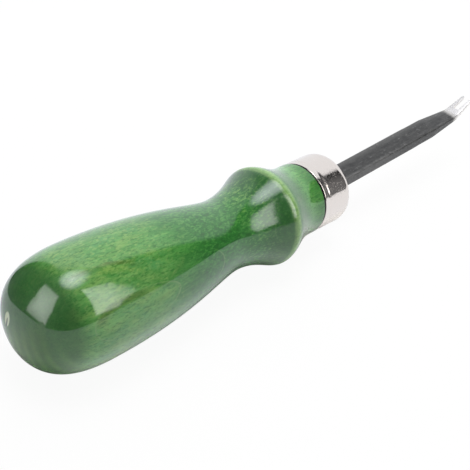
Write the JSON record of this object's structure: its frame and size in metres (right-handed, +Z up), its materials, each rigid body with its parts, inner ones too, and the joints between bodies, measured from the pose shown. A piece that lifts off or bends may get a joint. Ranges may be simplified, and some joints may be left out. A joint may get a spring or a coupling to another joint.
{
  "type": "leather edge beveler",
  "caption": "Hand tool with a turned green wooden handle, plated ferrule and a flat black blade bent up into a bright fork that shaves the corner off a leather edge.",
  "frame": {"origin": "middle of the tool's box, on the surface it lies on", "axes": "+X along the tool towards the cutting tip, +Z up, with the blade's flat face and the fork's bend facing up"},
  "size_m": [0.164, 0.0274, 0.0275],
  "materials": {
    "handle_wood": "green stain under clear gloss lacquer",
    "ferrule_plate": "bright nickel plate on drawn steel",
    "blade_steel": "black oxide, ground bright at the fork",
    "adhesive": "cured amber resin"
  },
  "bodies": {
    "root": {"handle": "handle_wood", "ferrule": "ferrule_plate", "blade": "blade_steel", "tang_adhesive": "adhesive"}
  },
  "joints": []
}
